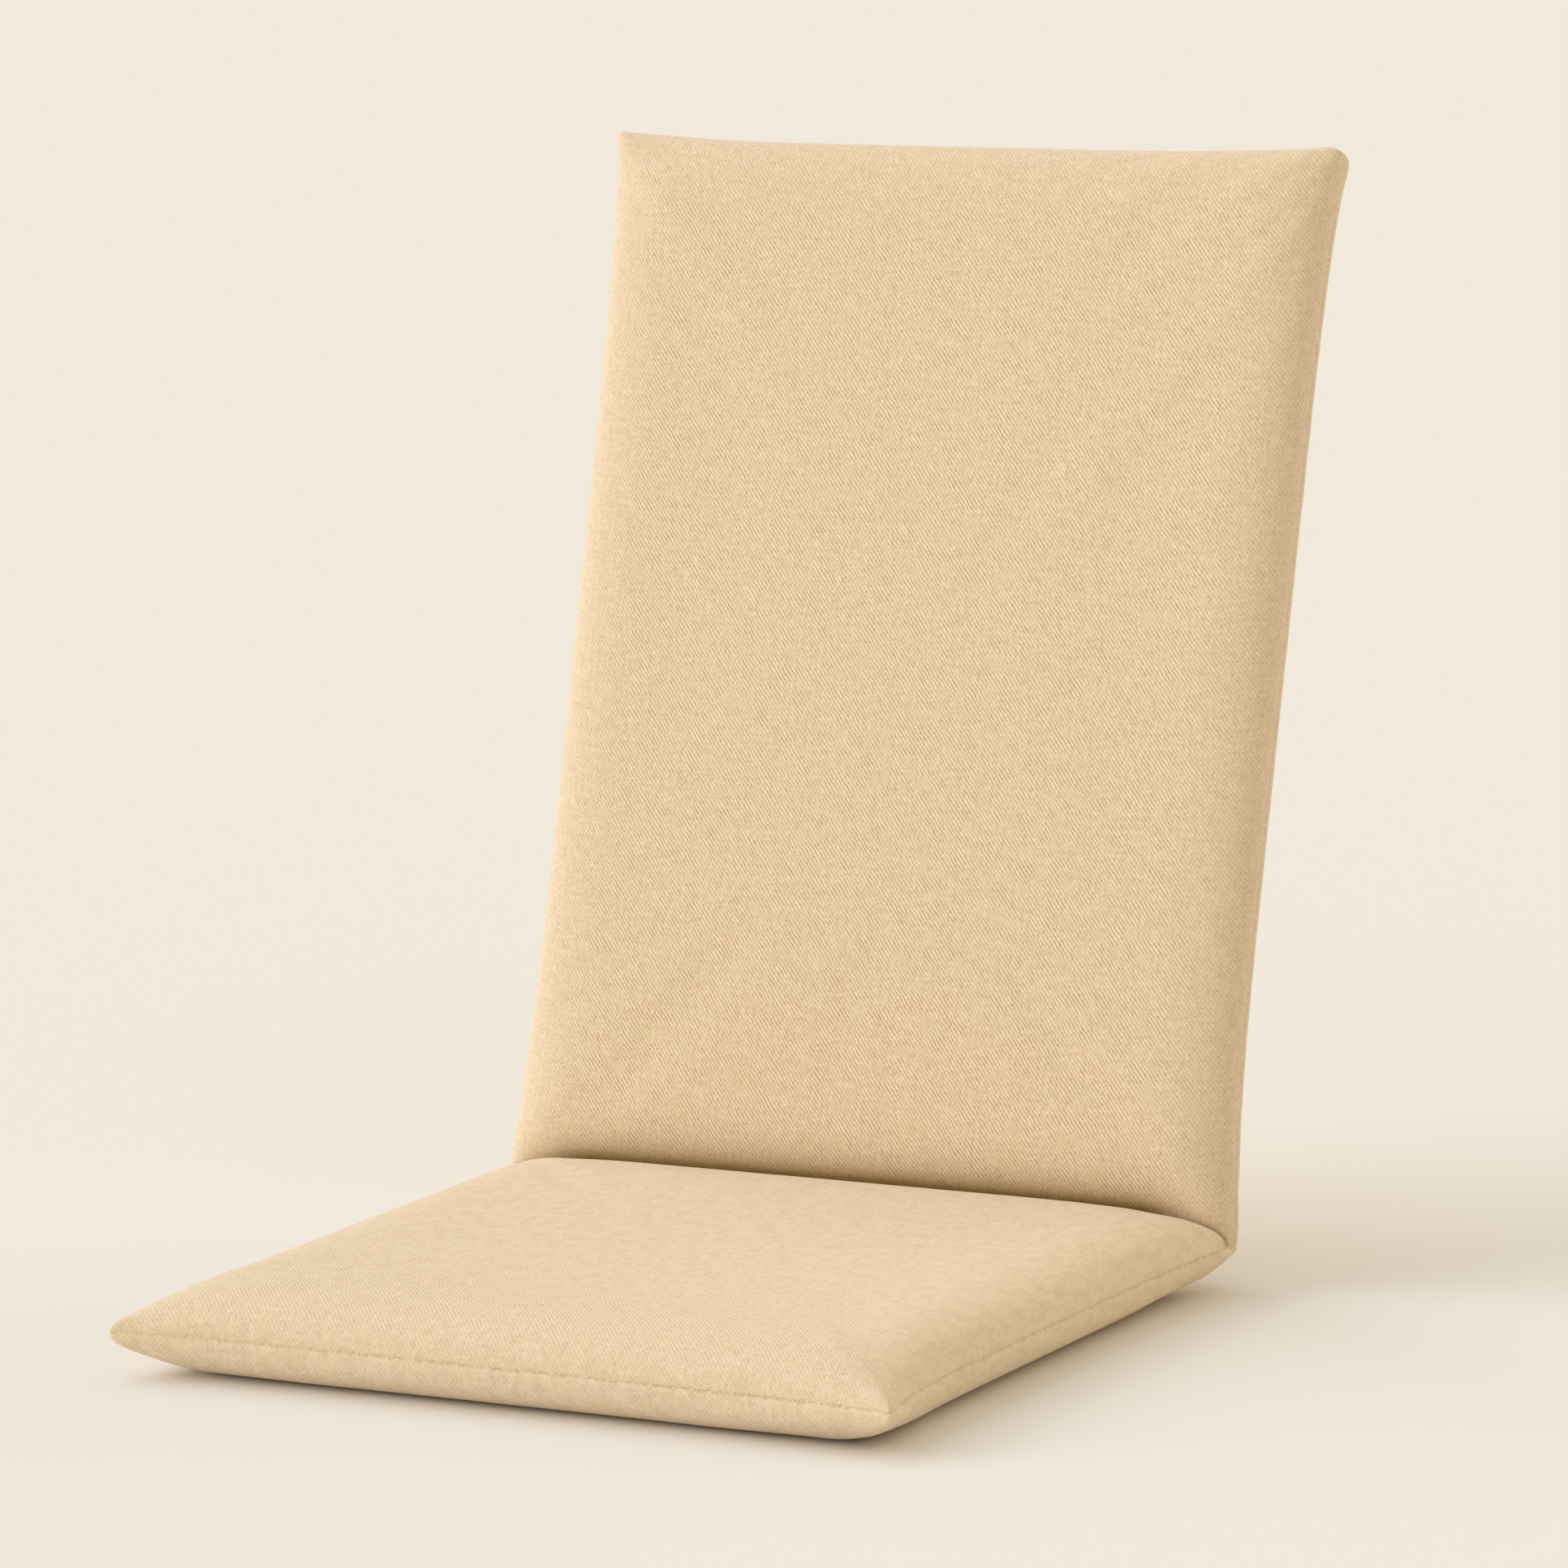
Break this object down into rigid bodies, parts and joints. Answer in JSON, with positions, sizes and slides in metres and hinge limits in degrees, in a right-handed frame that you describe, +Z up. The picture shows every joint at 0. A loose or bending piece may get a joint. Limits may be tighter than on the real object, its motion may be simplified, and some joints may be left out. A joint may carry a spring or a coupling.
{
  "type": "seat and back chair cushion",
  "caption": "Padded chair cushion with a flat seat section and a leaning back section, joined along a sewn fold, in a plain cream twill cover.",
  "frame": {"origin": "centre of the bounding box's bottom face, on the ground that the seat section lies on", "axes": "+Z up; +X across the cushion, to the right as seen from the front; -Y towards the front seam of the seat; the back section rises and leans towards +Y"},
  "size_m": [0.4988, 0.6702, 0.6808],
  "materials": {
    "cover": "matt cream twill"
  },
  "bodies": {
    "root": {"cushion": "cover"}
  },
  "joints": []
}
